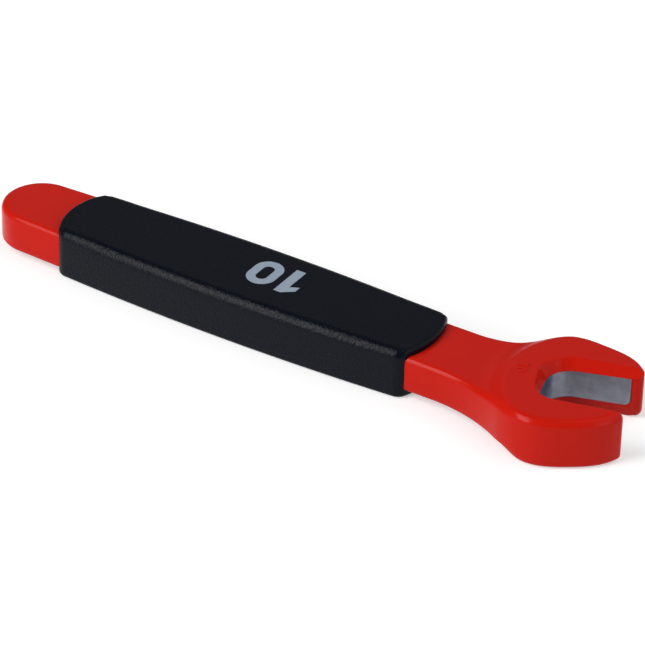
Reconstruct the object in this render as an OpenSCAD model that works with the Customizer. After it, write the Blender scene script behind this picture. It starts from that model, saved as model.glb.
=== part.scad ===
// Insulated open-end spanner: a forged steel core, a moulded insulation jacket and a grip sleeve.
// +X points along the tool to the jaw, +Y to the side the jaw is turned to, +Z up.
// The origin is on the tool's axis, at the middle of the sleeve's underside.

/* [Grip sleeve] */
// Length of the sleeve's sides, between its two bulged ends
grip_l = 63.8; // [50:0.1:80]
// Width of the sleeve where its sides meet the ends
grip_end_w = 14.5; // [14.2:0.1:16]
// Width of the sleeve across the middle of its bowed sides
grip_mid_w = 16.8; // [15.2:0.1:20]
// Thickness of the sleeve
grip_t = 8.5; // [8.3:0.1:12]
// How far the rear end bulges past the sides
rear_bulge = 2.4; // [1:0.1:4]
// How far the front end bulges past the sides
front_bulge = 2; // [1:0.1:5]
// Radius of the sleeve's corners, seen from above
grip_corner_r = 1.5; // [1.5:0.1:3]
// Rounding of the sleeve's upper edges
grip_round_top = 1.45; // [0.3:0.05:1.45]
// Rounding of the sleeve's lower edges
grip_round_low = 0.8; // [0.3:0.05:1.45]

/* [Insulation jacket] */
// Width of the shank in front of the sleeve
shank_w = 12.8; // [10:0.1:13.4]
// Thickness of the shank and the tail
shank_t = 6.1; // [5.2:0.1:7]
// Rounding of the edges of the shank and the tail
shank_round = 0.75; // [0.3:0.05:1.5]
// How far the tail's tip lies behind the sleeve's sides
tail_l = 15; // [10:0.1:30]
// Width of the tail where it leaves the sleeve
tail_root_w = 13.8; // [13.3:0.1:14]
// Radius of the tail's round end
tail_r = 6.5; // [5:0.05:6.6]
// How far the wider tail reaches into the sleeve before the shank narrows
tail_seat = 2.3; // [1:0.1:10]

/* [Head] */
// Distance from the sleeve's sides forward to the centre of the head
neck_l = 24.4; // [22:0.1:40]
// Distance of the head's centre from the tool's axis
head_offset = 0.9; // [0:0.1:3]
// Radius of the head
head_r = 12.4; // [11.5:0.1:13.5]
// Thickness of the head
head_t = 8.3; // [6.6:0.1:8.5]
// Rounding of the head's edges
head_round = 1.35; // [0.3:0.05:1.5]
// Radius of the neck's hollow on the side the jaw is turned to
neck_r_turned = 14.6; // [8:0.1:20]
// Radius of the neck's hollow on the other side
neck_r_other = 26.6; // [15:0.1:35]
// Distance from the head's centre back to the edge of its raised faces
pad_back = 9.7; // [7:0.1:11]
// Radius of that edge, seen from above
pad_r = 15.4; // [13.5:0.1:25]
// How far the middle of that edge is turned from the tool's axis
pad_turn = 10; // [0:1:20]
// Rounding of that edge
pad_round = 1.2; // [0.3:0.05:1.3]

/* [Jaw] */
// Angle of the jaw to the tool's axis
jaw_angle = 15; // [0:1:30]
// Width across the flats of the nut that the jaw fits
nut_w = 10; // [7:0.5:11]
// Play of the nut in the jaw
jaw_play = 0.1; // [0.05:0.01:0.2]
// Distance from the prong tips in to the bottom of the throat
jaw_depth = 13.9; // [11:0.1:15]
// Radius of the throat's corners
throat_r = 4; // [1.5:0.1:4.2]
// Radius of the prongs' round noses, seen from above
nose_r = 1.1; // [0.5:0.1:1.4]
// How far the insulation leans back from the jaw faces at the head's surface
mouth_lean = 1.15; // [0.3:0.05:1.5]
// Height of the insulation that is level with the jaw faces
lip_h = 0.25; // [0.1:0.05:0.5]

/* [Steel core] */
// Insulation over the core's sides
side_skin = 1.4; // [1:0.1:2]
// Insulation in front of the core's prong tips
tip_skin = 1.4; // [1:0.1:2.5]
// Thickness of the core's shank
core_shank_t = 4; // [3:0.1:4.2]
// Thickness of the core's head
core_head_t = 4.6; // [4.3:0.1:5]

/* [Hidden] */
$fn = 96;
// Steps along a side, an end and a corner of the sleeve's outline, and over its rounded edges
side_steps = 16;
end_steps = 12;
corner_steps = 3;
round_steps = 4;
round_turn = 90 / round_steps;
// How far one round wall runs into the next, so that they cross at a clear angle
bite = 0.05;
// Reach of a cut past the material
clear = 5;
mid_z = grip_t / 2;
grip_half = grip_l / 2;
grip_bow = (grip_mid_w - grip_end_w) / 2;
side_r = arc_radius(grip_half, grip_bow);
front_r = arc_radius(grip_end_w / 2, front_bulge);
rear_r = arc_radius(grip_end_w / 2, rear_bulge);
front_x = grip_half + front_bulge - front_r;
rear_x = rear_r - grip_half - rear_bulge;
// The sleeve's outline, one arc after another: [centre, radius, first angle, last angle, steps]
side_c = [0, grip_mid_w / 2 - side_r];
front_c = corner_centre(front_x, front_r, 1);
rear_c = corner_centre(rear_x, rear_r, -1);
front_end = bearing([front_x, 0], front_c);
front_side = bearing(side_c, front_c);
rear_side = bearing(side_c, rear_c);
rear_end = bearing([rear_x, 0], rear_c);
sleeve_arcs = [
    [[front_x, 0], front_r, -front_end, front_end, end_steps],
    [front_c, grip_corner_r, front_end, front_side, corner_steps],
    [side_c, side_r, front_side, rear_side, side_steps],
    [rear_c, grip_corner_r, rear_side, rear_end, corner_steps],
    [[rear_x, 0], rear_r, rear_end, 360 - rear_end, end_steps],
    [flip(rear_c), grip_corner_r, 360 - rear_end, 360 - rear_side, corner_steps],
    [flip(side_c), side_r, 360 - rear_side, 360 - front_side, side_steps],
    [flip(front_c), grip_corner_r, 360 - front_side, 360 - front_end, corner_steps]
];
shank_half = shank_w / 2;
core_half = min(shank_half, tail_r) - side_skin;
tail_x = tail_r - grip_half - tail_l;
// The tail's sides run from its round end to its width at the sleeve
tail_run = -grip_half - tail_x;
tail_taper = acos(tail_r / norm([tail_root_w / 2, tail_run])) - atan2(tail_run, tail_root_w / 2);
head_x = grip_half + neck_l;
// Radius of the head between its raised faces
rim_r = head_r - bite;
jaw_half = (nut_w + jaw_play) / 2;
// The centre of a nose, which lies against the jaw face and the head's rim
nose_y = jaw_half + nose_r - bite;
nose_x = sqrt(pow(head_r - nose_r + bite, 2) - nose_y * nose_y);
tip_reach = nose_x + nose_r;
throat_x = tip_reach - jaw_depth;
// A throat corner is no rounder than half the slot's width
turn_r = min(throat_r, jaw_half);
// The centre of a throat corner
corner_x = throat_x + turn_r - bite;
corner_y = jaw_half - turn_r + bite;

// Radius of an arc from half its chord and its height
function arc_radius(half_chord, height) = (half_chord * half_chord + height * height) / (2 * height);

// Direction from one point to another, and a point's mirror image across the tool's axis
function bearing(from, to) = atan2(to[1] - from[1], to[0] - from[0]);
function flip(p) = [p[0], -p[1]];

// Centre of the sleeve's corner that touches a side and the end of radius end_r about end_x
function corner_centre(end_x, end_r, way) =
    let (
        to_end = [end_x, 0] - side_c,
        apart = norm(to_end),
        side_reach = side_r - grip_corner_r,
        end_reach = end_r - grip_corner_r,
        along = (side_reach * side_reach - end_reach * end_reach + apart * apart) / (2 * apart),
        across = sqrt(side_reach * side_reach - along * along)
    )
    side_c + (along * to_end + way * across * [to_end[1], -to_end[0]]) / apart;

// The sleeve's outline drawn in by inset, at height z
function sleeve_ring(inset, z) = [
    for (arc = sleeve_arcs, i = [0:arc[4] - 1])
        let (angle = arc[2] + (arc[3] - arc[2]) * i / arc[4], reach = arc[1] - inset)
        [arc[0][0] + reach * cos(angle), arc[0][1] + reach * sin(angle), z]
];

// Centre of the neck's hollow of radius r on one side, 1 where the jaw is turned to and -1 opposite
function hollow_y(side, r) = side * (shank_half + r - bite);
function hollow_x(side, r) =
    head_x - sqrt(pow(rim_r + r - bite, 2) - pow(hollow_y(side, r) - head_offset, 2));

// What lies outside a rounded corner whose square corner would be at the origin
module corner_waste(r) {
    difference() {
        translate([-r, -r])
            square(r + clear);
        translate([-r, -r])
            circle(r);
    }
}

// Half of a slab's cross-section, from -back to the outer edge at reach, which is rounded
module slab_edge(reach, half_t, round_top, round_low, back = 0) {
    difference() {
        translate([-back, -half_t])
            square([reach + back, 2 * half_t]);
        translate([reach, half_t])
            corner_waste(round_top);
        translate([reach, -half_t])
            mirror([0, 1])
                corner_waste(round_low);
    }
}

// A round slab about the Z axis, with rounded edges
module round_slab(r, half_t, round_top, round_low) {
    rotate_extrude()
        slab_edge(r, half_t, round_top, round_low);
}

// A straight slab of the shank's thickness along +X, from -back in Y to its rounded edge at reach
module straight_slab(l, reach, back) {
    rotate([90, 0, 90])
        linear_extrude(l)
            slab_edge(reach, shank_t / 2, shank_round, shank_round, back);
}

// Places the children at the jaw, with +X out of its mouth
module at_jaw() {
    translate([head_x, head_offset, mid_z])
        rotate([0, 0, jaw_angle])
            children();
}

// One tapered side of the tail, about the centre of its round end
module tail_side() {
    rotate([0, 0, tail_taper])
        straight_slab(tail_run + tail_seat, tail_r - bite, 2 * tail_r);
}

// The tail: a round end and two tapered sides
module tail() {
    translate([tail_x, 0, mid_z]) {
        round_slab(tail_r, shank_t / 2, shank_round, shank_round);
        intersection() {
            tail_side();
            mirror([0, 1, 0])
                tail_side();
        }
    }
}

// The straight shank, from inside the sleeve to the head
module shank() {
    l = grip_half + head_x - pad_back;
    translate([-grip_half, 0, mid_z])
        intersection() {
            straight_slab(l, shank_half, shank_w);
            mirror([0, 1, 0])
                straight_slab(l, shank_half, shank_w);
        }
}

// The plan of one side of the neck, between the shank's axis, the hollow's centre and the head
module neck_plan(side, r) {
    hollow = [hollow_x(side, r), hollow_y(side, r)];
    centre = [head_x, head_offset];
    into_head = head_r / 2 / norm(hollow - centre);
    polygon([[hollow[0], 0], hollow, centre + into_head * (hollow - centre)]);
}

// One side of the neck: what a round hollow of radius r leaves between the shank and the head
module neck_side(side, r) {
    difference() {
        translate([0, 0, mid_z - shank_t / 2])
            linear_extrude(shank_t)
                neck_plan(side, r);
        translate([hollow_x(side, r), hollow_y(side, r), mid_z])
            rotate_extrude()
                difference() {
                    translate([0, -shank_t])
                        square([r + shank_round, 2 * shank_t]);
                    translate([2 * r, 0])
                        mirror([1, 0])
                            slab_edge(r, shank_t / 2, shank_round, shank_round);
                }
    }
}

// The head's thicker part, with its raised faces ending in an arc across the neck
module pad() {
    intersection() {
        round_slab(head_r, head_t / 2, head_round, head_round);
        rotate([0, 0, pad_turn - jaw_angle])
            translate([pad_r - pad_back, 0, 0])
                round_slab(pad_r, head_t / 2, pad_round, pad_round);
    }
}

// What lies past the nose of one prong, in the angle between the jaw face and the head's rim
module past_nose() {
    translate([nose_x, nose_y, -head_t])
        linear_extrude(2 * head_t)
            difference() {
                polygon([[0, 0], [0, -clear], [clear, -clear], [clear, clear * nose_y / nose_x]]);
                circle(nose_r);
            }
}

// The jacket's outside, before its mouth is cut
module jacket_blank() {
    difference() {
        union() {
            tail();
            shank();
            neck_side(1, neck_r_turned);
            neck_side(-1, neck_r_other);
            at_jaw() {
                round_slab(rim_r, shank_t / 2, shank_round, shank_round);
                pad();
            }
        }
        at_jaw()
            for (side = [0, 1])
                mirror([0, side, 0])
                    past_nose();
    }
}

// The core's neck on one side, which keeps the insulation's thickness
module core_neck_plan(side, r) {
    difference() {
        neck_plan(side, r);
        translate([hollow_x(side, r), hollow_y(side, r)])
            circle(r + side_skin);
    }
}

// The core before its slot is cut
module core_blank() {
    difference() {
        union() {
            translate([0, 0, mid_z - core_shank_t / 2])
                linear_extrude(core_shank_t) {
                    translate([tail_x, 0])
                        circle(core_half);
                    translate([tail_x, -core_half])
                        square([head_x - tail_x, 2 * core_half]);
                    core_neck_plan(1, neck_r_turned);
                    core_neck_plan(-1, neck_r_other);
                }
            at_jaw()
                translate([0, 0, -core_head_t / 2])
                    cylinder(r = head_r - side_skin, h = core_head_t);
        }
        at_jaw()
            translate([tip_reach - tip_skin, -head_r, -head_t])
                cube([head_r, 2 * head_r, 2 * head_t]);
    }
}

// The jaw's slot, with parallel faces and a throat with round corners
module jaw_slot() {
    at_jaw()
        translate([0, 0, -head_t])
            linear_extrude(2 * head_t) {
                translate([corner_x, -jaw_half])
                    square([2 * head_r, 2 * jaw_half]);
                translate([throat_x, -corner_y])
                    square([2 * head_r, 2 * corner_y]);
                for (side = [-1, 1])
                    translate([corner_x, side * corner_y])
                        circle(turn_r);
            }
}

// The leaning walls of the insulation above the jaw faces
module mouth_above() {
    start_z = core_head_t / 2 + lip_h;
    rise = head_t / 2 - start_z;
    at_jaw()
        translate([0, 0, start_z]) {
            translate([corner_x, 0, 0])
                rotate([90, 0, 90])
                    linear_extrude(2 * head_r)
                        polygon([
                            [-jaw_half, 0],
                            [jaw_half, 0],
                            [jaw_half + mouth_lean, rise],
                            [-jaw_half - mouth_lean, rise]
                        ]);
            translate([0, corner_y, 0])
                rotate([90, 0, 0])
                    linear_extrude(2 * corner_y)
                        polygon([
                            [throat_x, 0],
                            [corner_x, 0],
                            [corner_x, rise],
                            [throat_x - mouth_lean, rise]
                        ]);
            for (side = [-1, 1])
                translate([corner_x, side * corner_y, 0])
                    cylinder(h = rise, r1 = turn_r, r2 = turn_r + mouth_lean);
        }
}

// The mouth in the insulation, leaning back above and below the jaw faces
module mouth() {
    jaw_slot();
    mouth_above();
    translate([0, 0, 2 * mid_z])
        mirror([0, 0, 1])
            mouth_above();
}

module steel_core() {
    color("silver")
        difference() {
            core_blank();
            jaw_slot();
        }
}

module insulation_jacket() {
    color("firebrick")
        difference() {
            jacket_blank();
            core_blank();
            mouth();
        }
}

// The sleeve's outside: its outline, drawn in over the rounded edges
module sleeve_blank() {
    rings = concat(
        [for (i = [0:round_steps])
            sleeve_ring(grip_round_low * (1 - sin(i * round_turn)), grip_round_low * (1 - cos(i * round_turn)))],
        [for (i = [0:round_steps])
            sleeve_ring(
                grip_round_top * (1 - cos(i * round_turn)),
                grip_t - grip_round_top * (1 - sin(i * round_turn))
            )]
    );
    n = len(rings[0]);
    last = len(rings) - 1;
    polyhedron(
        points = [for (ring = rings) each ring],
        faces = concat(
            [[for (i = [0:n - 1]) i]],
            [[for (i = [n - 1:-1:0]) last * n + i]],
            [for (k = [0:last - 1], i = [0:n - 1])
                [k * n + i, (k + 1) * n + i, (k + 1) * n + (i + 1) % n, k * n + (i + 1) % n]]
        )
    );
}

module grip_sleeve() {
    color([0.1, 0.11, 0.13])
        difference() {
            sleeve_blank();
            tail();
            shank();
        }
}

steel_core();
insulation_jacket();
grip_sleeve();
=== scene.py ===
"""Insulated open-end spanner: pieces, materials and stage, as an add-on for Blender.

Sizes are kept in metres in the panel and worked with in millimetres below.
Frame: +X along the tool to the jaw, +Y to the side the jaw is turned to, +Z up.
"""

import math

import bmesh
import bpy
import numpy as np
from bpy.props import FloatProperty, FloatVectorProperty, PointerProperty
from mathutils import Euler, Matrix, Vector


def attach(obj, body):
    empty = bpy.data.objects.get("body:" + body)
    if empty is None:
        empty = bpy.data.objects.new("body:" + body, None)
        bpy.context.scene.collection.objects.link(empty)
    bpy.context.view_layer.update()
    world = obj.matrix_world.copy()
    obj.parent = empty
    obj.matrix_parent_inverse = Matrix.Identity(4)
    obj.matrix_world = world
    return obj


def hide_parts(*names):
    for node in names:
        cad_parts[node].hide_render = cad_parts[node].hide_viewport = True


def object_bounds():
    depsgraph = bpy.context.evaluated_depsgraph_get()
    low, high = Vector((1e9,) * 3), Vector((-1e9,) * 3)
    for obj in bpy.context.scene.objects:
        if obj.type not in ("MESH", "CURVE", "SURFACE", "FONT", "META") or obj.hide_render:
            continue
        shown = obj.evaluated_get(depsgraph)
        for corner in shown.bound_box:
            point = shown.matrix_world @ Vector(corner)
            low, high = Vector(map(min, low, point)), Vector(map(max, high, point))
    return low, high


bl_info = {
    "name": "Insulated open-end spanner",
    "version": (1, 0, 0),
    "blender": (4, 2, 0),
    "location": "View3D > Sidebar > Spanner",
    "description": "Builds an insulated open-end spanner on its CAD frame",
    "category": "Object",
}

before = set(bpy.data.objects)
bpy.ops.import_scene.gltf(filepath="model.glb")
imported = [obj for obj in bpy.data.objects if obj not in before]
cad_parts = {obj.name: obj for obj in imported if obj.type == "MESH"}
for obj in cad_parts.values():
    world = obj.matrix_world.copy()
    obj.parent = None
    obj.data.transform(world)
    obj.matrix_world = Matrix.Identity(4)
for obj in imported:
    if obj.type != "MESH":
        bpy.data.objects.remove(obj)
CAD_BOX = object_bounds()

MM = 0.001
SMOOTH_ANGLE = math.radians(32)
WELD = 1e-6


# Sizes

def length(name, value, description):
    """A size in the panel, given in millimetres."""
    return FloatProperty(name=name, description=description, default=value * MM, min=0.0,
                         unit="LENGTH", subtype="DISTANCE", precision=5)


def degrees(name, value, description):
    """An angle in the panel, given in degrees."""
    return FloatProperty(name=name, description=description, default=math.radians(value),
                         unit="ROTATION", subtype="ANGLE")


def colour(name, value, description):
    """A colour in the panel, given as an sRGB hex number."""
    return FloatVectorProperty(name=name, description=description, default=linear(value),
                               size=3, min=0.0, max=1.0, subtype="COLOR")


def linear(value):
    """Linear colour of an sRGB hex number."""
    parts = [((value >> shift) & 255) / 255 for shift in (16, 8, 0)]
    return tuple(p / 12.92 if p <= 0.04045 else ((p + 0.055) / 1.055) ** 2.4 for p in parts)


class SPANNER_PG_head(bpy.types.PropertyGroup):
    radius: length("Radius", 12.4, "Radius of the head's rim")
    offset: length("Offset", 0.9, "How far the head sits to the side the jaw is turned to")
    thickness: length("Thickness", 8.3, "Thickness of the head")
    edge: length("Edge round", 1.35, "Rounding of the head's upper edge, away from the jaw's turn")
    edge_turned: length("Edge round, turned side", 0.85, "Rounding of the upper edge on the turned side")
    edge_tip: length("Edge round, tip", 0.7, "Rounding of the upper edge at the turned side's prong tip")
    flank: length("Flank", 0.3, "How far the rim's shoulders and tips stand out from its flatter flanks")
    trim_other: length("Trim, other side", 0.17, "How far the rim is drawn in on the other side")
    trim_tip: length("Trim, other tip", 0.17, "How far the other side's prong tip is drawn in further")
    edge_low: length("Lower edge round", 0.7, "Rounding of the head's lower edge")
    edge_low_tip: length("Lower edge round, tip", 1.3, "Rounding of the lower edge at the turned prong tip")
    hollow_turned: length("Hollow, turned side", 14.6, "Neck radius on the side the jaw is turned to")
    hollow_other: length("Hollow, other side", 26.6, "Neck radius on the other side")
    pad_back: length("Raised face reach", 9.7, "Reach of the raised face back from the head's centre")
    pad_r: length("Raised face radius", 15.4, "Radius of the raised face's back edge")
    pad_turn: degrees("Raised face turn", 10, "Direction of the raised face's back edge")
    pad_slope: length("Raised face slope", 4.2, "Width of the hollow slope up to the raised upper face")
    pad_slope_low: length("Lower face slope", 2.0, "Width of the slope to the raised lower face")


class SPANNER_PG_jaw(bpy.types.PropertyGroup):
    angle: degrees("Angle", 15, "Turn of the jaw from the tool's axis")
    width: length("Width", 10.1, "Distance between the steel faces")
    depth: length("Depth", 13.9, "Depth of the slot from the prong tips")
    throat_r: length("Throat corner", 4.0, "Rounding of the throat's corner on the turned side")
    throat_r_other: length("Throat corner, other side", 3.1, "Rounding of the throat's other corner")
    nose_r: length("Nose", 1.1, "Rounding of the prong tips")
    lean_turned: length("Lean, turned side", 1.25, "How far the red mouth widens on the turned side")
    lean_other: length("Lean, other side", 0.8, "How far the red mouth widens on the other side")
    lean_low: length("Lean below", 0.5, "How far the red mouth widens towards the underside")
    lip_root: length("Lip height, throat", 2.45, "Straight wall's height above the middle at the throat")
    lip_tip: length("Lip height, tips", 3.0, "Straight wall's height above the middle at the tips")
    lip_low: length("Lip depth, throat", 2.45, "Straight wall's depth below the middle at the throat")
    lip_low_tip: length("Lip depth, tips", 2.1, "Straight wall's depth below the middle at the tips")
    lip: length("Lip", 0.1, "Red that overlaps the steel's edges")
    mouth_round: length("Mouth edge round", 0.22, "Rounding of the mouth's outer edge")
    recess: length("Recess", 0.06, "How far the steel lies behind the red lip")
    window_end: length("Window end", 1.2, "Red left in front of the bare steel")
    window_r: length("Window corner", 1.3, "Rounding of the window's front corner")


class SPANNER_PG_shank(bpy.types.PropertyGroup):
    width: length("Width", 12.8, "Width of the shank")
    thickness: length("Thickness", 6.1, "Thickness of the shank")
    edge: length("Edge round", 0.95, "Rounding of the upper edges of the shank and tail")
    edge_low: length("Lower edge round", 0.65, "Rounding of the lower edges of the shank and tail")
    neck: length("Neck", 24.4, "Distance from the sleeve to the head's centre")
    tail: length("Tail", 15.0, "Length of the tail behind the sleeve")
    tail_root: length("Tail root width", 13.8, "Width of the tail where it leaves the sleeve")
    tail_r: length("Tail end", 6.5, "Radius of the tail's round end")
    tail_thickness: length("Tail thickness", 6.4, "Thickness of the tail")


class SPANNER_PG_sleeve(bpy.types.PropertyGroup):
    length: length("Length", 63.8, "Length of the sleeve at its corners")
    end_width: length("End width", 14.5, "Width at the ends")
    mid_width: length("Middle width", 16.8, "Width in the middle of the barrel")
    thickness: length("Thickness", 8.5, "Thickness of the sleeve")
    rear_bulge: length("Rear bulge", 2.4, "How far the rear end bulges")
    front_bulge: length("Front bulge", 2.0, "How far the front end bulges")
    corner: length("Corners", 2.0, "Rounding of the corners in plan")
    top_round: length("Top edge round", 1.75, "Rounding of the long top edges")
    corner_round: length("Top corner round", 1.5, "Rounding of the top edges at the corners")
    end_round: length("End edge round", 0.6, "Rounding of the top edges at the two ends")
    low_round: length("Lower edge round", 0.6, "Rounding of the lower edges")


class SPANNER_PG_core(bpy.types.PropertyGroup):
    skin: length("Side skin", 1.4, "Insulation beside the steel")
    shank_thickness: length("Shank thickness", 4.0, "Thickness of the steel in the shank")
    edge: length("Edge round", 0.2, "Rounding of the forging's edges")
    nose_r: length("Nose", 0.45, "Rounding of the buried prong tips")


class SPANNER_PG_marks(bpy.types.PropertyGroup):
    moulded_height: length("Moulded height", 1.7, "Height of the moulded figures")
    moulded_width: length("Moulded width", 2.7, "Width of the moulded number")
    relief: length("Moulded relief", 0.13, "How far the moulded figures stand out")
    printed_height: length("Printed height", 7.0, "Height of the printed figures")
    printed_width: length("Printed width", 9.4, "Width of the printed number")
    ink: length("Ink", 0.02, "Thickness of the ink")


class SPANNER_PG_colours(bpy.types.PropertyGroup):
    insulation: colour("Insulation", 0xC71A0C, "Red of the moulded insulation")
    grip: colour("Grip", 0x030914, "Black of the sleeve")
    steel: colour("Steel", 0x858994, "Bare steel of the jaw")
    ink: colour("Ink", 0x97A5B5, "Pale grey of the printed number")
    floor: colour("Floor", 0xE0E0E0, "Floor under the tool")


class SPANNER_PG_all(bpy.types.PropertyGroup):
    head: PointerProperty(type=SPANNER_PG_head)
    jaw: PointerProperty(type=SPANNER_PG_jaw)
    shank: PointerProperty(type=SPANNER_PG_shank)
    sleeve: PointerProperty(type=SPANNER_PG_sleeve)
    core: PointerProperty(type=SPANNER_PG_core)
    marks: PointerProperty(type=SPANNER_PG_marks)
    colours: PointerProperty(type=SPANNER_PG_colours)


# Plan curves, in millimetres

# rows of points: distances from an outer edge and the mouth's edge, their largest share of a line, and
# how many lie between
EDGE_STEPS = (0.0, 0.04, 0.12, 0.22, 0.34, 0.48, 0.64, 0.82, 1.05, 1.3, 1.6)
MOUTH_STEPS = (0.0, 0.25, 0.5, 0.75, 0.9, 1.02, 1.12, 1.22, 1.34, 1.5, 1.75)
STEPS_SHARE = 0.45
HEAD_STEPS, STRIP_STEPS = 26, 12
NECK_ROWS, SLEEVED_ROWS = 26, 20
# gaps between the points of an outline, and the least lengths that count
POINT_GAP, NOSE_GAP, FACE_GAP, TURN_GAP = 0.42, 0.16, 0.3, 0.2
SHANK_GAP, ROOT_GAP, SIDE_GAP, CORNER_GAP, END_GAP = 2.5, 1.0, 0.6, 0.3, 0.1
SAME_POINT, TINY = 1e-6, 1e-9
# points whose distances from a curve are worked out at one time
BATCH = 2000
# the slot's wall: its steps, and the share of them before the throat's middle rows
SLOT_STEPS = 2000
THROAT_SHARE = 0.415
# along the tool: the seam across the neck, and where the sleeve hides the shank
SEAM_X, SLEEVED_X = 44.1, 32.0
# the tail: the corner of its round end in degrees, the run in which it takes its size, with a slack for
# rounding, and where its rows start to bow
TAIL_CORNER = 48.0
TAIL_BLEND, TAIL_SLACK = 3.0, 0.01
BOW_START = 3.0
# the rim's prong tip, shoulder and the shoulder's fade, in degrees from the jaw's axis
TIP_TURN, SHOULDER_TURN, SHOULDER_FADE = 38.0, 102.0, 26.0


def mm(group, name):
    """A size from the panel in millimetres."""
    return getattr(group, name) / MM


def arc(centre, radius, first, last, gap=POINT_GAP):
    """Points along an arc between two angles in degrees, both ends included."""
    count = max(3, int(abs(math.radians(last - first)) * radius / gap) + 2)
    turn = np.radians(np.linspace(first, last, count))
    return np.column_stack((centre[0] + radius * np.cos(turn), centre[1] + radius * np.sin(turn)))


def line(first, last, gap=POINT_GAP):
    """Points along a line, both ends included."""
    count = max(2, int(math.dist(first, last) / gap) + 2)
    return np.linspace(first, last, count)


def joined(*runs):
    """Runs of points end to end, without the repeated points between them."""
    points = np.vstack(runs)
    keep = np.ones(len(points), bool)
    keep[1:] = np.linalg.norm(np.diff(points, axis=0), axis=1) > SAME_POINT
    return points[keep]


def way_along(points):
    """Length of a curve from its start to each of its points."""
    return np.concatenate(([0.0], np.cumsum(np.linalg.norm(np.diff(points, axis=0), axis=1))))


def resampled(points, count):
    """A curve as a number of evenly spaced points."""
    along = way_along(points)
    wanted = np.linspace(0.0, along[-1], count)
    return np.column_stack([np.interp(wanted, along, points[:, k]) for k in (0, 1)])


def distance(points, curve):
    """Distance of each point from a curve."""
    start, step = curve[:-1], np.diff(curve, axis=0)
    square = (step ** 2).sum(axis=1)
    least = np.full(len(points), np.inf)
    for first in range(0, len(points), BATCH):
        offset = points[first:first + BATCH, None, :] - start[None, :, :]
        share = np.clip((offset * step).sum(axis=2) / square, 0.0, 1.0)
        gap = np.linalg.norm(offset - share[:, :, None] * step, axis=2)
        least[first:first + BATCH] = gap.min(axis=1)
    return least


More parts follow.
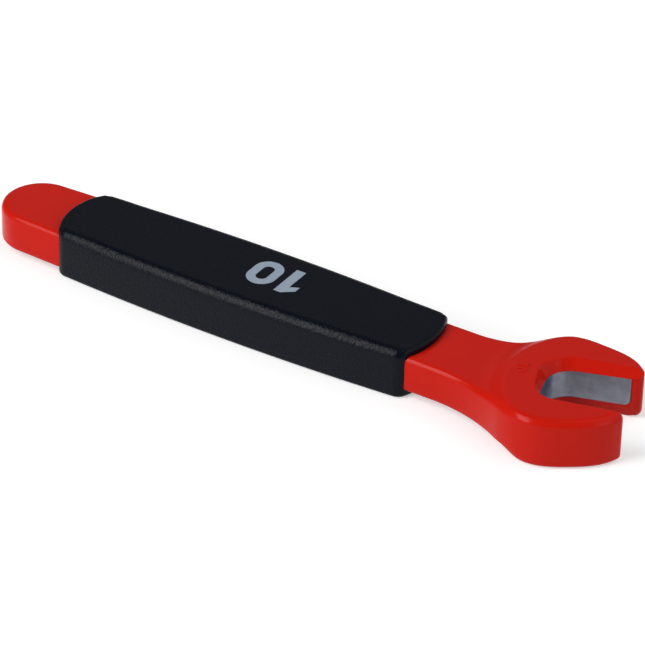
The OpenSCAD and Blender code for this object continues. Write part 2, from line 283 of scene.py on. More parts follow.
class Plan:
    """Outline of the jacket or of the core, seen from above."""

    def __init__(self, tool, skin=0.0, nose_r=None, recess=0.0):
        head, jaw, shank = tool.head, tool.jaw, tool.shank
        half_sleeve = mm(tool.sleeve, "length") / 2
        self.centre = np.array((half_sleeve + mm(shank, "neck"), mm(head, "offset")))
        self.angle = jaw.angle
        self.way = np.array((math.cos(jaw.angle), math.sin(jaw.angle)))
        self.out = np.array((-self.way[1], self.way[0]))
        self.rim = mm(head, "radius") - skin
        self.half = mm(shank, "width") / 2 - skin
        self.hollows = {1: mm(head, "hollow_turned") + skin, -1: mm(head, "hollow_other") + skin}
        nose = mm(jaw, "nose_r")
        self.nose_r = nose if nose_r is None else nose_r
        self.jaw_half = mm(jaw, "width") / 2 + recess
        self.flank = 0.0 if skin else mm(head, "flank")
        self.trim = {1: 0.0, -1: 0.0 if skin else mm(head, "trim_other")}
        self.tips = {1: self.flank, -1: self.flank - (0.0 if skin else mm(head, "trim_tip"))}
        nose_y = self.jaw_half + self.nose_r
        self.noses = {}
        for side in (1, -1):
            reach = self.rim + self.tips[side] - self.trim[side] - self.nose_r
            self.noses[side] = np.array((math.sqrt(reach ** 2 - nose_y ** 2), nose_y))
        beside = mm(jaw, "width") / 2 + nose
        self.tip = math.sqrt((mm(head, "radius") - nose) ** 2 - beside ** 2) + nose
        self.throat = self.tip - mm(jaw, "depth") - recess
        self.throat_r = {1: mm(jaw, "throat_r"), -1: mm(jaw, "throat_r_other")}
        self.tail_r = mm(shank, "tail_r") - skin
        self.tail_x = -half_sleeve - mm(shank, "tail") + mm(shank, "tail_r")
        self.root_x = -half_sleeve
        self.root = mm(shank, "tail_root") / 2 - skin

    def placed(self, points):
        """Points of the jaw's own frame, in the tool's frame."""
        return self.centre + np.asarray(points, float) @ np.array((self.way, self.out))

    def jaw_frame(self, points):
        """Places along and across the jaw, from the head's centre."""
        off = points - self.centre
        return off @ self.way, off @ self.out

    def swelling(self, side, turn):
        """How far the rim stands out or lies in at an angle from the jaw's axis."""
        turn = np.abs(turn)
        span = SHOULDER_TURN - TIP_TURN
        lobe = 0.5 + 0.5 * np.cos(2 * math.pi * (np.maximum(turn, TIP_TURN) - SHOULDER_TURN) / span)
        crest = np.where(turn < TIP_TURN + span / 2, self.tips[side], self.flank)
        wave = (crest + self.flank) * lobe - self.flank - self.trim[side]
        fade = 0.5 + 0.5 * np.cos(math.pi * np.clip((turn - SHOULDER_TURN) / SHOULDER_FADE, 0, 1))
        return np.where(turn < SHOULDER_TURN, wave, (self.flank - self.trim[side]) * fade)

    def head_side(self, side):
        """From the prong tip's inner corner round the rim to the seam across the neck."""
        nose = self.noses[side]
        lean = math.degrees(math.atan2(nose[1], nose[0]))
        centre, radius, at_seam = self.hollow(side)
        to_hollow = math.degrees(math.atan2(centre[1] - self.centre[1], centre[0] - self.centre[0]))
        tip = arc((nose[0], side * nose[1]), self.nose_r, -90 * side, lean * side, NOSE_GAP)
        rim = joined(self.placed(arc((0, 0), self.rim, lean * side, to_hollow - math.degrees(self.angle))),
                     arc(centre, radius, to_hollow - 180 * side, at_seam))
        along, out = self.jaw_frame(rim)
        turn = np.arctan2(out, along)
        reach = np.hypot(along, out) + self.swelling(side, np.degrees(turn))
        rim = self.placed(np.column_stack((reach * np.cos(turn), reach * np.sin(turn))))
        return joined(self.placed(tip)[:-1], rim)

    def hollow(self, side):
        """The neck's hollow, tangent to the rim and the shank: centre, radius and angle at the seam."""
        radius = self.hollows[side]
        y = side * (self.half + radius)
        reach = math.sqrt((self.rim + radius) ** 2 - (y - self.centre[1]) ** 2)
        centre = np.array((self.centre[0] - reach, y))
        return centre, radius, -side * math.degrees(math.acos((SEAM_X - centre[0]) / radius))

    def neck_side(self, side):
        """From the seam along the shank to the corner of the tail's end."""
        centre, radius, at_seam = self.hollow(side)
        back = self.tail_x - self.root_x
        touch = 90 + math.degrees(math.asin((self.root - self.tail_r) / math.hypot(back, self.root)))
        end = arc((self.tail_x, 0), self.tail_r, side * touch, side * (180 - TAIL_CORNER), CORNER_GAP)
        shank, start = (centre[0], side * self.half), (self.root_x + TAIL_BLEND, side * self.half)
        root = (self.root_x, side * self.root)
        return joined(arc(centre, radius, at_seam, -90 * side), line(shank, start, SHANK_GAP),
                      line(start, root, ROOT_GAP), line(root, end[0], SIDE_GAP), end)

    def tail_end(self):
        """Round end of the tail between its two corners, near to far."""
        return arc((self.tail_x, 0), self.tail_r, -180 + TAIL_CORNER, -180 - TAIL_CORNER, END_GAP)

    def slot_half(self, side):
        """Slot wall from a prong tip to the middle of the throat, in the jaw's frame."""
        radius = self.throat_r[side]
        corner = np.array((self.throat + radius, side * (self.jaw_half - radius)))
        y = side * self.jaw_half
        face = line((self.noses[side][0], y), (corner[0], y), FACE_GAP)
        turn = arc(corner, radius, 90 * side, 180 * side, TURN_GAP)
        return joined(face, turn, line(turn[-1], (self.throat, 0), FACE_GAP))

    def slot(self):
        """Slot wall from the near tip round the throat to the far tip, in the jaw's frame."""
        return joined(self.slot_half(-1), self.slot_half(1)[::-1])

    def outline(self):
        """Outer outline from the near tip round the tail to the far tip."""
        return joined(self.head_side(-1), self.neck_side(-1), self.tail_end(),
                      self.neck_side(1)[::-1], self.head_side(1)[::-1])


def spread(size, inner_steps, outer_steps, middle):
    """Shares of a line of a given length: fine steps at both ends and even steps between."""
    start = np.array(outer_steps) * min(1.0, STEPS_SHARE * size / outer_steps[-1])
    stop = size - np.array(inner_steps)[::-1] * min(1.0, STEPS_SHARE * size / inner_steps[-1])
    between = np.linspace(start[-1], stop[0], middle + 2)[1:-1]
    return np.concatenate((start, between, stop)) / max(size, TINY)


def across(first, last, shares):
    """Points at shares of the line between two points."""
    return first + np.outer(shares, np.asarray(last) - first)


def plan_grid(plan):
    """Quads over the plan: a band round the slot, and a strip along the neck, shank and tail."""
    near, far = plan.neck_side(-1), plan.neck_side(1)
    tail = far[far[:, 0] < plan.root_x + TAIL_BLEND + TAIL_SLACK]
    neck_x = np.concatenate((np.linspace(SEAM_X, SLEEVED_X, NECK_ROWS)[:-1],
                             np.linspace(SLEEVED_X, tail[0, 0], SLEEVED_ROWS)[:-1]))
    ends = [[(x, np.interp(-x, -side[:, 0], side[:, 1])) for x in neck_x] for side in (near, far)]
    near = np.vstack((ends[0], tail * (1, -1)))
    far = np.vstack((ends[1], tail))
    reach = BOW_START + plan.tail_r * math.cos(math.radians(TAIL_CORNER))
    strip = []
    for a, b in zip(near, far):
        shares = spread(b[1] - a[1], EDGE_STEPS, EDGE_STEPS, STRIP_STEPS)
        row = across(a, b, shares)
        # rows bow with the tail's round end, more the nearer they are to it
        half = math.radians(TAIL_CORNER) * np.clip((plan.tail_x + BOW_START - a[0]) / reach, 0.0, 1.0)
        if half > 0:
            turn = half * (2 * shares - 1)
            radius = (b[1] - a[1]) / 2 / math.sin(half)
            row = np.column_stack((a[0] - radius * (np.cos(turn) - math.cos(half)), radius * np.sin(turn)))
        strip.append(row)
    strip = np.array(strip)

    seam = strip[0]
    outer_near, outer_far = plan.head_side(-1), plan.head_side(1)
    whole = resampled(plan.placed(plan.slot()), SLOT_STEPS + 1)
    first, last = int(SLOT_STEPS * THROAT_SHARE), int(SLOT_STEPS * (1 - THROAT_SHARE))
    outer = np.vstack((outer_near, seam[1:-1], outer_far[::-1]))
    inner = np.vstack((resampled(whole[:first + 1], len(outer_near)),
                       resampled(whole[first:last + 1], len(seam))[1:-1],
                       resampled(whole[last:], len(outer_far))))
    band = np.array([across(a, b, spread(math.dist(a, b), MOUTH_STEPS, EDGE_STEPS, HEAD_STEPS))
                     for a, b in zip(outer, inner)])
    return band, strip


# Solids, in millimetres

# start and run of each soft change along or across the jaw
EDGE_TURN, EDGE_TIP = (-6.0, 12.0), (2.0, 7.0)
MOUTH_TURN, LOW_TIP = (-3.0, 6.0), (5.0, 5.0)
LIP_START, LIP_RUN, LIP_LIMIT = -2.0, 11.0, 1.05
# the raised faces: the crease below the slope, the slope's highest share and its round at the top
PAD_CREASE, PAD_LIMIT, PAD_ROUND = 0.5, 1.6, 0.3
LOW_PAD_SHIFT = 0.4
# how far the mouth's lines run on past the tips, and how far the core's faces lie behind the lips
PAST_TIPS, CORE_GAP = 20.0, 0.03
# the window in the slot's wall: steps along it, reach into and out of the wall, share of the upper corner
WINDOW_STEPS = 400
WINDOW_IN, WINDOW_OUT = 1.0, 0.2
WINDOW_TOP = 0.3
# the sleeve: reach of its corners, rim of its flats, where its outline turns sideways, and its points
CORNER_REACH = 9.0
FLAT_RIM = 0.08
SIDEWAYS = (0.2, 0.7)
LOW_RINGS, TOP_RINGS = 8, 16
END_POINTS, CORNER_POINTS, SIDE_POINTS = 26, 12, 90
FINE_WELD = 1e-9
# digits to which two points of a plan agree if they are one
SAME_DIGITS = 5


def grid_faces(rows, columns, start):
    """Quads of a grid of points kept row by row."""
    at = np.arange(rows * columns).reshape(rows, columns) + start
    return np.stack((at[:-1, :-1], at[:-1, 1:], at[1:, 1:], at[1:, :-1]), axis=-1).reshape(-1, 4)


def tube_faces(rings, count):
    """Quads between closed rings of a number of points, kept ring by ring."""
    faces = []
    for first in range(0, (rings - 1) * count, count):
        for j in range(count):
            a, b = first + j, first + (j + 1) % count
            faces.append((a, b, b + count, a + count))
    return faces


def linked(name, data):
    """A new object in the scene."""
    piece = bpy.data.objects.new(name, data)
    bpy.context.scene.collection.objects.link(piece)
    return piece


def evaluated(piece):
    """A new mesh of an object as its modifiers or its curves make it."""
    graph = bpy.context.evaluated_depsgraph_get()
    graph.update()
    return bpy.data.meshes.new_from_object(piece.evaluated_get(graph))


def mesh_object(name, points, faces, weld=WELD):
    """An object from points in millimetres, welded, with outward normals."""
    shape = bmesh.new()
    verts = [shape.verts.new(Vector(p) * MM) for p in points]
    for face in faces:
        shape.faces.new([verts[k] for k in face])
    bmesh.ops.remove_doubles(shape, verts=shape.verts, dist=weld)
    bmesh.ops.dissolve_degenerate(shape, edges=shape.edges, dist=weld)
    bmesh.ops.recalc_face_normals(shape, faces=shape.faces)
    data = bpy.data.meshes.new(name)
    shape.to_mesh(data)
    shape.free()
    return linked(name, data)


def slab(name, plan, above, below, middle):
    """A flat body from its heights above and below its middle over the plan."""
    band, strip = plan_grid(plan)
    flat = np.vstack((band.reshape(-1, 2), strip.reshape(-1, 2)))
    faces = np.vstack((grid_faces(*band.shape[:2], 0),
                       grid_faces(*strip.shape[:2], band.shape[0] * band.shape[1])))
    # one number for each place, so that the two grids share their seam
    keys = np.round(flat, SAME_DIGITS)
    _, index, same = np.unique(keys, axis=0, return_index=True, return_inverse=True)
    same = same.ravel()
    flat, faces = flat[index], same[faces]
    faces = [list(dict.fromkeys(face)) for face in faces.tolist()]
    faces = [face for face in faces if len(face) > 2]
    count = len(flat)
    used = dict.fromkeys(edge for face in faces for edge in zip(face, face[1:] + face[:1]))
    rim = [(a, b) for a, b in used if (b, a) not in used]
    points = np.vstack((np.column_stack((flat, middle + above(flat))),
                        np.column_stack((flat, middle - below(flat)))))
    faces = faces + [[k + count for k in reversed(face)] for face in faces]
    faces += [[b, a, a + count, b + count] for a, b in rim]
    return mesh_object(name, points.tolist(), faces)


def smooth_step(value):
    """Soft step from 0 to 1."""
    t = np.clip(value, 0.0, 1.0)
    return t * t * t * (t * (6 * t - 15) + 10)


def ramp(value, start, run):
    """Soft step from 0 at a start to 1 at the end of a run."""
    return smooth_step((value - start) / run)


def blend(first, last, share):
    """Values between two others: the first at a share of 0 and the last at 1."""
    return first * (1 - share) + last * share


def soft_least(a, b, size):
    """The lesser of two heights, with a round of about a given size where they meet."""
    near = np.clip(size - np.abs(a - b), 0.0, None) / size
    return np.minimum(a, b) - near * near * size / 4


def edge_drop(inside, radius):
    """How far a rounded edge falls below the flat at a distance inside the outline."""
    rest = np.clip(radius - inside, 0.0, radius)
    return radius - np.sqrt(np.clip(radius * radius - rest * rest, 0.0, None))


def inside_pad(tool, plan, points):
    """Distance inside the back edge of the head's raised faces."""
    head = tool.head
    turn = np.array((math.cos(head.pad_turn), math.sin(head.pad_turn)))
    centre = plan.centre + turn * (mm(head, "pad_r") - mm(head, "pad_back"))
    return mm(head, "pad_r") - np.linalg.norm(points - centre, axis=1)


def raised_share(tool, plan, points):
    """0 on the shank and 1 on the raised upper face, with a hollow slope that ends in a soft crease."""
    slope = mm(tool.head, "pad_slope")
    share = np.clip((inside_pad(tool, plan, points) + slope - PAD_CREASE) / slope, 0.0, PAD_LIMIT)
    return soft_least(share * share, np.ones(len(points)), PAD_ROUND)


def lowered_share(tool, plan, points):
    """0 on the shank and 1 on the raised lower face, with a soft slope between."""
    slope = mm(tool.head, "pad_slope_low")
    return smooth_step((inside_pad(tool, plan, points) + LOW_PAD_SHIFT * slope) / slope)


def lip_height(jaw, along):
    """Height of the slot's straight wall above the middle; it climbs towards the tips."""
    return blend(mm(jaw, "lip_root"), mm(jaw, "lip_tip"), lip_climb(along))


def lip_depth(jaw, along):
    """Depth of the slot's straight wall below the middle; it shrinks towards the tips."""
    return blend(mm(jaw, "lip_low"), mm(jaw, "lip_low_tip"), lip_climb(along))


def lip_climb(along):
    """0 at the throat and 1 near the prong tips."""
    return np.clip((along - LIP_START) / LIP_RUN, 0.0, LIP_LIMIT)


def jacket_blank(tool, name):
    """Outer form of the jacket with its slot, still solid inside."""
    head, jaw, shank = tool.head, tool.jaw, tool.shank
    plan = Plan(tool)
    wall = plan.slot()
    reach = np.array((PAST_TIPS, 0.0))
    slot = plan.placed(np.vstack((wall[:1] + reach, wall, wall[-1:] + reach)))
    outline = plan.outline()
    head_half = mm(head, "thickness") / 2

    def form(points, share, shank_edge, head_edge, lip, lean):
        tail = smooth_step((plan.root_x + TAIL_BLEND - points[:, 0]) / TAIL_BLEND)
        level = blend(mm(shank, "thickness"), mm(shank, "tail_thickness"), tail) / 2
        drop = edge_drop(distance(points, outline), blend(shank_edge, head_edge, share))
        height = blend(level, head_half, share) - drop
        mouth = lip + (head_half - lip) / lean * distance(points, slot)
        return soft_least(height, mouth, mm(jaw, "mouth_round"))

    def above(points):
        along, out = plan.jaw_frame(points)
        turned_edge = blend(mm(head, "edge_turned"), mm(head, "edge_tip"), ramp(along, *EDGE_TIP))
        edge = blend(mm(head, "edge"), turned_edge, ramp(out, *EDGE_TURN))
        lean = blend(mm(jaw, "lean_other"), mm(jaw, "lean_turned"), ramp(out, *MOUTH_TURN))
        return form(points, raised_share(tool, plan, points), mm(shank, "edge"), edge,
                    lip_height(jaw, along), lean)

    def below(points):
        along, out = plan.jaw_frame(points)
        tip = ramp(along, *LOW_TIP) * ramp(out, *MOUTH_TURN)
        edge = blend(mm(head, "edge_low"), mm(head, "edge_low_tip"), tip)
        return form(points, lowered_share(tool, plan, points), mm(shank, "edge_low"), edge,
                    lip_depth(jaw, along), mm(jaw, "lean_low"))

    return slab(name, plan, above, below, mm(tool.sleeve, "thickness") / 2)


def cut(piece, *cutters):
    """Cuts solids out of a piece and removes them."""
    for cutter in cutters:
        change = piece.modifiers.new("cut", "BOOLEAN")
        change.operation = "DIFFERENCE"
        change.solver = "EXACT"
        change.object = cutter
    data = evaluated(piece)
    piece.modifiers.clear()
    old, piece.data = piece.data, data
    data.name = piece.name
    bpy.data.meshes.remove(old)
    for cutter in cutters:
        bpy.data.objects.remove(cutter)


def shaded(piece):
    """Smooth faces with sharp edges where they really turn."""
    piece.data.shade_smooth()
    piece.data.set_sharp_from_angle(angle=SMOOTH_ANGLE)


def window_cutter(tool):
    """The opening in the red slot wall through which the steel shows."""
    plan = Plan(tool)
    jaw = tool.jaw
    path = resampled(plan.slot(), WINDOW_STEPS)
    along = way_along(path)
    end = plan.tip - mm(jaw, "window_end")
    inside = np.minimum(along - (plan.noses[-1][0] - end), along[-1] - along - (plan.noses[1][0] - end))
    keep = inside > 0
    path, inside = path[keep], inside[keep]
    forward = np.gradient(path, axis=0)
    forward /= np.linalg.norm(forward, axis=1)[:, None]
    out = np.column_stack((-forward[:, 1], forward[:, 0]))
    middle = mm(tool.sleeve, "thickness") / 2
    corner, lip = mm(jaw, "window_r"), mm(jaw, "lip")
    high = lip_height(jaw, path[:, 0]) - lip - edge_drop(inside, WINDOW_TOP * corner)
    low = lip - lip_depth(jaw, path[:, 0]) + edge_drop(inside, corner)
    ring = ((WINDOW_IN, high), (WINDOW_IN, low), (-WINDOW_OUT, low), (-WINDOW_OUT, high))
    points = [(*plan.placed(p + n * reach), middle + level[k])
              for k, (p, n) in enumerate(zip(path, out)) for reach, level in ring]
    ends = [range(len(ring))[::-1], range(len(points))[-len(ring):]]
    return mesh_object("window", points, tube_faces(len(path), len(ring)) + ends)


def core_solid(tool, name):
    """The whole forging: prongs, head, neck, shank and tail."""
    core = tool.core
    plan = Plan(tool, skin=mm(core, "skin"), nose_r=mm(core, "nose_r"), recess=mm(tool.jaw, "recess"))
    outline = plan.outline()

    def form(points, lip):
        along, _ = plan.jaw_frame(points)
        share = lowered_share(tool, plan, points)
        level = blend(mm(core, "shank_thickness") / 2, lip(tool.jaw, along) - CORE_GAP, share)
        return level - edge_drop(distance(points, outline), mm(core, "edge"))

    def above(points):
        return form(points, lip_height)

    def below(points):
        return form(points, lip_depth)

    return slab(name, plan, above, below, mm(tool.sleeve, "thickness") / 2)


def sleeve_blank(tool, name):
    """The sleeve's outer form: a barrel in plan with rounded edges, flat above and below."""
    s = tool.sleeve
    height = mm(s, "thickness")
    outer = barrel(tool)
    # the long edges are rounder than the corners, and the corners rounder than the ends
    inboard = smooth_step((mm(s, "length") / 2 - np.abs(outer[:, 0])) / CORNER_REACH)
    side_r = blend(mm(s, "corner_round"), mm(s, "top_round"), inboard)
    top_r = blend(mm(s, "end_round"), side_r, ramp(np.abs(outer[:, 3]), *SIDEWAYS))
    low_r = np.full(len(outer), mm(s, "low_round"))
    # a narrow flat rim inside each rounding keeps the flats flat to the eye
    levels = [(low_r + FLAT_RIM, 0 * low_r)]
    levels += [(low_r * (1 - math.cos(t)), low_r * (1 - math.sin(t)))
               for t in np.radians(np.linspace(90, 0, LOW_RINGS))]
    levels += [(top_r * (1 - math.cos(t)), height - top_r * (1 - math.sin(t)))
               for t in np.radians(np.linspace(0, 90, TOP_RINGS))]
    levels += [(top_r + FLAT_RIM, height + 0 * top_r)]
    points = []
    for inset, z in levels:
        half = np.column_stack((outer[:, :2] - outer[:, 2:] * inset[:, None], z))
        points += half.tolist() + (half[-2:0:-1] * (1, -1, 1)).tolist()
    count = 2 * len(outer) - 2
    faces = tube_faces(len(levels), count)
    for base, flip in ((0, True), ((len(levels) - 1) * count, False)):
        rungs = [(base + j, base + (count - j) % count) for j in range(len(outer))]
        for (a, d), (b, c) in zip(rungs, rungs[1:]):
            face = list(dict.fromkeys((a, b, c, d)))
            if len(face) > 2:
                faces.append(face[::-1] if flip else face)
    return mesh_object(name, points, faces, weld=FINE_WELD)


def barrel(tool):
    """Far half of the sleeve's outline from front to rear: x, y and the outward direction."""
    s = tool.sleeve
    half, end_half = mm(s, "length") / 2, mm(s, "end_width") / 2
    swell = (mm(s, "mid_width") - mm(s, "end_width")) / 2
    side_r = (half ** 2 + swell ** 2) / (2 * swell)
    side_y = end_half + swell - side_r
    corner_r = mm(s, "corner")

    def run(centre, radius, first, last, count):
        turn = np.linspace(first, last, count)
        way = np.column_stack((np.cos(turn), np.sin(turn)))
        return np.column_stack((np.asarray(centre) + radius * way, way))

    ends, turns = [], []
    for bulge in (mm(s, "front_bulge"), mm(s, "rear_bulge")):
        end_r = (end_half ** 2 + bulge ** 2) / (2 * bulge)
        end_x = half + bulge - end_r
        reach_s, reach_e, gap = side_r - corner_r, end_r - corner_r, math.hypot(end_x, side_y)
        a = (reach_s ** 2 - reach_e ** 2 + gap ** 2) / (2 * gap)
        h = math.sqrt(reach_s ** 2 - a ** 2)
        ux, uy = end_x / gap, -side_y / gap
        x, y = max(((a * ux - h * uy, side_y + a * uy + h * ux),
                    (a * ux + h * uy, side_y + a * uy - h * ux)))
        at_end, at_side = math.atan2(y, x - end_x), math.atan2(y - side_y, x)
        ends.append(np.vstack((run((end_x, 0), end_r, 0, at_end, END_POINTS)[:-1],
                               run((x, y), corner_r, at_end, at_side, CORNER_POINTS))))
        turns.append(at_side)
    front, rear = ends
    side = run((0, side_y), side_r, turns[0], math.pi - turns[1], SIDE_POINTS)
    return np.vstack((front[:-1], side[:-1], rear[::-1] * (-1, 1, -1, 1)))


# middles of the two numbers on the tool, in millimetres, and how much deeper they go than they stand out
MOULDED_PLACE = (49.4, 0.05)
PRINTED_PLACE = (4.55, 0.65)
SUNK = 0.05
# outlines of the figures 1 and 0, gap of their points, depth and edge rounding, in shares of their height
ONE = ((0.21, 0.0), (0.21, 0.71), (0.0, 0.6), (0.0, 0.79), (0.27, 1.0), (0.45, 1.0), (0.45, 0.0))
ZERO_MIDDLE, ZERO_HALF, ZERO_STROKE = 0.98, 0.35, 0.215
FIGURE_GAP, FIGURE_DEPTH = 0.02, 0.5
RIDGE_ROUND, RIDGE_STEPS = 0.06, 3


def figures():
    """Outlines of the nut size 10: a stem with a flag, and a ring with straight sides."""
    rings = []
    for stroke in (0.0, ZERO_STROKE):
        radius = ZERO_HALF - stroke
        top, low = (ZERO_MIDDLE, 1 - ZERO_HALF), (ZERO_MIDDLE, ZERO_HALF)
        rings.append(np.vstack((arc(top, radius, 0, 180, FIGURE_GAP),
                                arc(low, radius, 180, 360, FIGURE_GAP))))
    return np.array(ONE), *rings


def number(name, height, width, place, turn, relief, edge=0.0):
    """The nut size as a thin solid that stands out from a flat face, with rounded edges if wanted."""
    curve = bpy.data.curves.new(name, "CURVE")
    curve.dimensions, curve.fill_mode = "2D", "BOTH"
    curve.extrude = edge / 2 or FIGURE_DEPTH
    curve.bevel_depth, curve.offset, curve.bevel_resolution = edge, -edge, RIDGE_STEPS
    for outline in figures():
        spline = curve.splines.new("POLY")
        spline.points.add(len(outline) - 1)
        spline.use_cyclic_u = True
        for point, (x, y) in zip(spline.points, outline):
            point.co = (x, y, 0, 1)
    source = linked(name, curve)
    data = evaluated(source)
    bpy.data.objects.remove(source)
    corners = np.array([v.co for v in data.vertices])
    low, high = corners.min(axis=0), corners.max(axis=0)
    # sunk by a little more than they stand out, so that the figures grow out of the face
    sunk = relief + SUNK
    size = (width, height, relief + sunk)
    fit = Matrix.Diagonal(Vector([MM * s / (h - l) for s, h, l in zip(size, high, low)])).to_4x4()
    middle = Matrix.Translation(-Vector((low + high) / 2))
    lift = Vector((place[0], place[1], place[2] + (relief - sunk) / 2)) * MM
    data.transform(Matrix.Translation(lift) @ Matrix.Rotation(turn, 4, "Z") @ fit @ middle)
    return linked(name, data)


# Materials

def fill(tree, node, inputs):
    """Fills a node's sockets from values or other sockets."""
    for name, value in inputs.items():
        if isinstance(value, bpy.types.NodeSocket):
            tree.links.new(value, node.inputs[name])
        else:
            node.inputs[name].default_value = value


def add(tree, kind, inputs, **settings):
    """Adds a node, sets its options, fills its sockets and gives its outputs."""
    node = tree.nodes.new(kind)
    for name, value in settings.items():
        setattr(node, name, value)
    fill(tree, node, inputs)
    return node.outputs


def surface(name):
    """A new material with its tree, its shader and the object's own coordinates."""
    material = bpy.data.materials.new(name)
    material.use_nodes = True
    tree = material.node_tree
    shader = tree.nodes["Principled BSDF"]
    place = add(tree, "ShaderNodeTexCoord", {})["Object"]
    return material, tree, shader, place


def per_size(size):
    """Scale of a noise whose features are of a size in millimetres."""
    return 1 / (size * MM)


def noise(tree, place, scale, detail=2.0):
    """A noise of a scale."""
    return add(tree, "ShaderNodeTexNoise", {"Vector": place, "Scale": scale, "Detail": detail})["Fac"]


def mixed(tree, share, first, last):
    """A colour between two others."""
    return add(tree, "ShaderNodeMix", {"Factor": share, "A": first, "B": last}, data_type="RGBA")["Result"]


def mapped(tree, value, wanted, given=(0.0, 1.0)):
    """A value taken from one range to another."""
    ends = dict(zip(("From Min", "From Max", "To Min", "To Max"), (*given, *wanted)))
    return add(tree, "ShaderNodeMapRange", {"Value": value, **ends})["Result"]


def bumped(tree, height, strength, depth, **under):
    """A normal shaken to a depth in millimetres, on top of another one if it is given."""
    inputs = {"Height": height, "Strength": strength, "Distance": depth * MM, **under}
    return add(tree, "ShaderNodeBump", inputs)["Normal"]


def maths(tree, operation, first, second):
    """An operation on two values."""
    return add(tree, "ShaderNodeMath", {0: first, 1: second}, operation=operation)["Value"]


def varied(tree, place, base, size, low, high, detail=3.0):
    """A colour that drifts between two shares of itself, over patches of a size in millimetres."""
    ends = [(*[min(1, c * share) for c in base], 1) for share in (low, high)]
    return mixed(tree, noise(tree, place, per_size(size), detail), *ends)


def insulation_material(tool):
    """Glass-filled nylon, injection-moulded in a polished mould.

    The skin is smooth and satin, so flat faces stay an even deep red and only the rounded edges catch a
    thin pale line. The melt leaves slow drifts of tone about 11 mm long, and shallow sinks about 2.4 mm
    across that soften the line.
    """
    material, tree, shader, place = surface("moulded red nylon")
    red = varied(tree, place, tool.colours.insulation, size=11.0, low=0.94, high=1.05)
    # the polished mould's own grain is under 0.05 mm, too fine to show, so it is drawn at 0.24 mm
    fine = bumped(tree, noise(tree, place, per_size(0.24)), strength=0.25, depth=0.03)
    soft = bumped(tree, noise(tree, place, per_size(2.4)), strength=0.3, depth=0.12, Normal=fine)
    fill(tree, shader, {"Base Color": red, "Roughness": 0.16, "IOR": 1.5, "Specular IOR Level": 0.1,
                        "Normal": soft})
    return material


def grip_material(tool):
    """Thermoplastic elastomer, moulded over the jacket in an etched mould.

    The etching leaves a close grain that breaks the light up, so the black looks soft and the long rounded
    edges shine as a wide, speckled grey band. Handling leaves faint clouds about 7 mm across.
    """
    material, tree, shader, place = surface("black elastomer")
    black = varied(tree, place, tool.colours.grip, size=7.0, low=0.85, high=1.15, detail=4.0)
    # the etched grain is about 0.1 mm, too fine to show, so it is drawn at 0.34 mm
    grain = noise(tree, place, per_size(0.34))
    rough = mapped(tree, grain, wanted=(0.2, 0.42), given=(0.3, 0.7))
    fill(tree, shader, {"Base Color": black, "Roughness": rough, "IOR": 1.5, "Specular IOR Level": 0.12,
                        "Normal": bumped(tree, grain, strength=0.7, depth=0.12)})
    return material


# where the painted shade at the bottom of the throat starts to fade, and where it is gone, in mm; its dark,
# bluish tint
THROAT_SHADE_START, THROAT_SHADE_END = 0.4, 0.8
THROAT_SHADE_TINT = (0.5, 0.6, 0.75)


def steel_material(tool):
    """Chrome-vanadium steel, forged, then ground across the jaw's faces.

    Grinding leaves faint upright lines and a satin, blue-grey shine; patches about 1.6 mm across, where the
    forging's skin was taken off unevenly, make it look mottled. The bottom of the throat is painted darker
    and
    bluish: painted shade for the deep corner that the light hardly reaches.
    """
    material, tree, shader, place = surface("ground chrome-vanadium steel")
    plan = Plan(tool)
    bottom = plan.centre @ plan.way + plan.throat
    # 0 at the bottom of the throat, where shade is painted, rising to 1 on the plain steel
    along = add(tree, "ShaderNodeVectorMath", {0: place, 1: (*plan.way, 0.0)}, operation="DOT_PRODUCT")
    out_of_shade = mapped(tree, along["Value"], wanted=(0.0, 1.0),
                     given=((bottom + THROAT_SHADE_START) * MM, (bottom + THROAT_SHADE_END) * MM))
    # painted shade: the steel's colour darkened and turned bluish for the throat's bottom
    skin = [c * share for c, share in zip(tool.colours.steel, THROAT_SHADE_TINT)]
    tones = [varied(tree, place, tone, size=1.6, low=0.62, high=1.38, detail=5.0)
             for tone in (skin, tool.colours.steel)]
    # grinding lines are about 0.05 mm apart, too fine to show, so they are drawn 0.4 mm apart
    scale = (per_size(0.4), per_size(0.4), per_size(8.0))
    lines = add(tree, "ShaderNodeMapping", {"Vector": place, "Scale": scale})
    grain = noise(tree, lines["Vector"], scale=1.0, detail=4.0)
    fill(tree, shader, {"Base Color": mixed(tree, out_of_shade, *tones), "Metallic": 1.0,
                        "Roughness": mapped(tree, grain, wanted=(0.36, 0.6)),
                        "Normal": bumped(tree, grain, strength=0.5, depth=0.05)})
    return material


def ink_material(tool):
    """Pad-printed ink on the elastomer.

    The film is thin and follows the grain below, so it looks pale, matt and lightly speckled.
    """
    material, tree, shader, place = surface("pad-printed grey ink")
    # the grain below shows through as specks of about 0.1 mm, too fine to show, so they are drawn at 0.4 mm
    grey = varied(tree, place, tool.colours.ink, size=0.4, low=0.8, high=1.16)
    fill(tree, shader, {"Base Color": grey, "Roughness": 0.5, "Specular IOR Level": 0.2})
    return material


def dressed(piece, material):
    """Gives a piece one material."""
    piece.data.materials.clear()
    piece.data.materials.append(material)


# Operators

class SPANNER_OT_core(bpy.types.Operator):
    """Build the steel core with its bare jaw"""
    bl_idname = "spanner.core"
    bl_label = "Steel core"

    def execute(self, context):
        tool = context.scene.spanner
        core = core_solid(tool, "core")
        shaded(core)
        dressed(core, steel_material(tool))
        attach(core, "root")
        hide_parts("steel_core")
        return {"FINISHED"}


class SPANNER_OT_jacket(bpy.types.Operator):
    """Build the red insulation with the opening for the steel"""
    bl_idname = "spanner.jacket"
    bl_label = "Insulation jacket"

    def execute(self, context):
        tool = context.scene.spanner
        jacket = jacket_blank(tool, "jacket")
        cut(jacket, core_solid(tool, "pocket"), window_cutter(tool))
        shaded(jacket)
        dressed(jacket, insulation_material(tool))
        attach(jacket, "root")
        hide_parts("insulation_jacket")
        return {"FINISHED"}


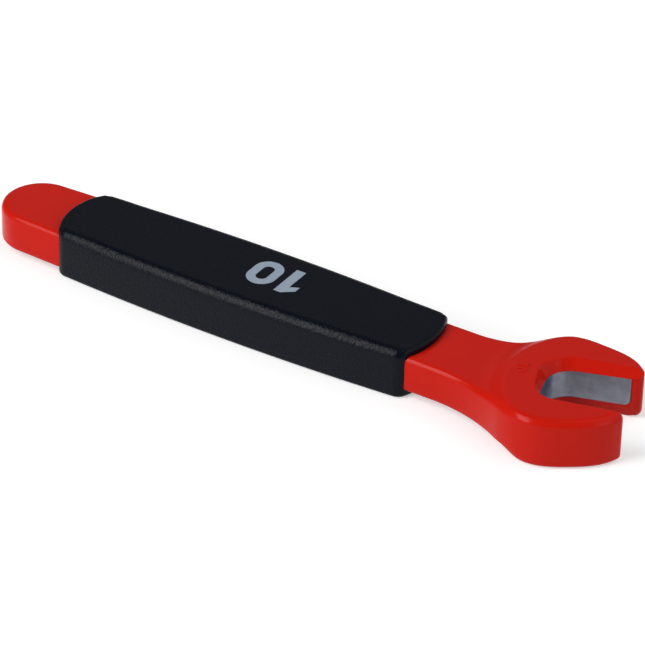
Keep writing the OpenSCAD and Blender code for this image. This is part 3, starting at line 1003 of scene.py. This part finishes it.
class SPANNER_OT_sleeve(bpy.types.Operator):
    """Build the black sleeve round the shank"""
    bl_idname = "spanner.sleeve"
    bl_label = "Grip sleeve"

    def execute(self, context):
        tool = context.scene.spanner
        sleeve = sleeve_blank(tool, "sleeve")
        cut(sleeve, jacket_blank(tool, "tunnel"))
        shaded(sleeve)
        dressed(sleeve, grip_material(tool))
        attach(sleeve, "root")
        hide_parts("grip_sleeve")
        return {"FINISHED"}


class SPANNER_OT_marks(bpy.types.Operator):
    """Mould the nut size on the head and print it on the sleeve"""
    bl_idname = "spanner.marks"
    bl_label = "Numbers"

    def execute(self, context):
        tool = context.scene.spanner
        marks = tool.marks
        top = mm(tool.sleeve, "thickness")
        face = top / 2 + mm(tool.head, "thickness") / 2
        moulded = number("moulded_number", mm(marks, "moulded_height"), mm(marks, "moulded_width"),
                         (*MOULDED_PLACE, face), tool.jaw.angle - math.pi / 2, mm(marks, "relief"),
                         RIDGE_ROUND)
        shaded(moulded)
        dressed(moulded, insulation_material(tool))
        printed = number("printed_number", mm(marks, "printed_height"), mm(marks, "printed_width"),
                         (*PRINTED_PLACE, top), math.pi, mm(marks, "ink"))
        dressed(printed, ink_material(tool))
        for mark in (moulded, printed):
            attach(mark, "root")
        return {"FINISHED"}


# the camera's place and clip in metres, turn in degrees, lens and sensor in mm; the floor in mm
CAMERA_PLACE = (0.28600, -0.44706, 0.34069)
CAMERA_TURN = (57.2142, -1.2652, 32.1759)
CAMERA_LENS = 221.78
CAMERA_SENSOR = 36.0
CAMERA_CLIP = (0.01, 20.0)
FLOOR_HALF, FLOOR_DROP = 2000.0, 0.02
WORLD_LIGHT = 0.16
FLOOR_GLOW = 0.45
# name, direction from the tool, distance, width, height and power of each softbox
LAMPS = (("key", (-0.456, -0.682, 0.572), 1.0, 0.42, 1.05, 9.8),
         ("fill", (0.955, -0.21, 0.208), 1.0, 0.55, 0.55, 1.8),
         ("side", (0.645, 0.413, 0.643), 1.0, 1.5, 1.5, 4.9),
         ("back", (-0.413, 0.645, 0.643), 1.0, 0.55, 0.55, 0.2))


class SPANNER_OT_stage(bpy.types.Operator):
    """Set up the floor, the light and the camera"""
    bl_idname = "spanner.stage"
    bl_label = "Stage"

    def execute(self, context):
        scene = context.scene
        low, high = CAD_BOX
        middle = (low + high) / 2
        corners = [(x * FLOOR_HALF, y * FLOOR_HALF, -FLOOR_DROP)
                   for x, y in ((-1, -1), (1, -1), (1, 1), (-1, 1))]
        floor = mesh_object("floor", corners, [range(len(corners))])
        dressed(floor, floor_material(scene.spanner))
        for name, way, away, width, height, power in LAMPS:
            lamp = bpy.data.lights.new(name, "AREA")
            lamp.shape, lamp.size, lamp.size_y, lamp.energy = "RECTANGLE", width, height, power
            holder = linked(name, lamp)
            # each softbox faces the tool, with its width along it
            toward = Vector(way).normalized()
            along = (Vector((1, 0, 0)) - toward * toward.x).normalized()
            holder.location = middle + toward * away
            holder.rotation_euler = Matrix((along, toward.cross(along), toward)).transposed().to_euler()
        camera = bpy.data.cameras.new("camera")
        camera.lens, camera.sensor_width = CAMERA_LENS, CAMERA_SENSOR
        camera.clip_start, camera.clip_end = CAMERA_CLIP
        camera.dof.use_dof = False
        view = linked("camera", camera)
        view.location = CAMERA_PLACE
        view.rotation_euler = Euler([math.radians(a) for a in CAMERA_TURN])
        scene.camera = view
        world_light(scene)
        scene.view_settings.view_transform = "Standard"
        return {"FINISHED"}


def floor_material(tool):
    """Matt white board: takes the tool's soft shadow, and shows the camera a white ground."""
    material, tree, shader, _ = surface("white board")
    seen = add(tree, "ShaderNodeLightPath", {})
    mirrored = maths(tree, "MAXIMUM", seen["Is Glossy Ray"], seen["Is Transmission Ray"])
    shown = maths(tree, "MAXIMUM", seen["Is Camera Ray"], mirrored)
    fill(tree, shader, {"Base Color": (*tool.colours.floor, 1), "Roughness": 0.9, "Specular IOR Level": 0.1,
                        "Emission Color": (1, 1, 1, 1),
                        "Emission Strength": maths(tree, "MULTIPLY", shown, FLOOR_GLOW)})
    return material


def world_light(scene):
    """Even studio light from all round."""
    world = bpy.data.worlds.new("studio")
    world.use_nodes = True
    scene.world = world
    tree = world.node_tree
    fill(tree, tree.nodes["Background"], {"Color": (1, 1, 1, 1), "Strength": WORLD_LIGHT})


class SPANNER_PT_panel(bpy.types.Panel):
    """Sizes, colours and build steps of the spanner"""
    bl_idname = "SPANNER_PT_panel"
    bl_label = "Spanner"
    bl_space_type = "VIEW_3D"
    bl_region_type = "UI"
    bl_category = "Spanner"

    def draw(self, context):
        tool = context.scene.spanner
        for part in ("head", "jaw", "shank", "sleeve", "core", "marks", "colours"):
            box = self.layout.box()
            box.label(text=part.capitalize())
            group = getattr(tool, part)
            for name in group.__annotations__:
                box.prop(group, name)
        for step in STEPS:
            self.layout.operator(step.bl_idname)


STEPS = (SPANNER_OT_core, SPANNER_OT_jacket, SPANNER_OT_sleeve, SPANNER_OT_marks, SPANNER_OT_stage)
CLASSES = (SPANNER_PG_head, SPANNER_PG_jaw, SPANNER_PG_shank, SPANNER_PG_sleeve, SPANNER_PG_core,
           SPANNER_PG_marks, SPANNER_PG_colours, SPANNER_PG_all, *STEPS, SPANNER_PT_panel)


def register():
    for kind in CLASSES:
        bpy.utils.register_class(kind)
    bpy.types.Scene.spanner = PointerProperty(type=SPANNER_PG_all)


def unregister():
    del bpy.types.Scene.spanner
    for kind in reversed(CLASSES):
        bpy.utils.unregister_class(kind)


def main():
    register()
    bpy.ops.spanner.core()
    bpy.ops.spanner.jacket()
    bpy.ops.spanner.sleeve()
    bpy.ops.spanner.marks()
    bpy.ops.spanner.stage()


if __name__ == "__main__":
    main()
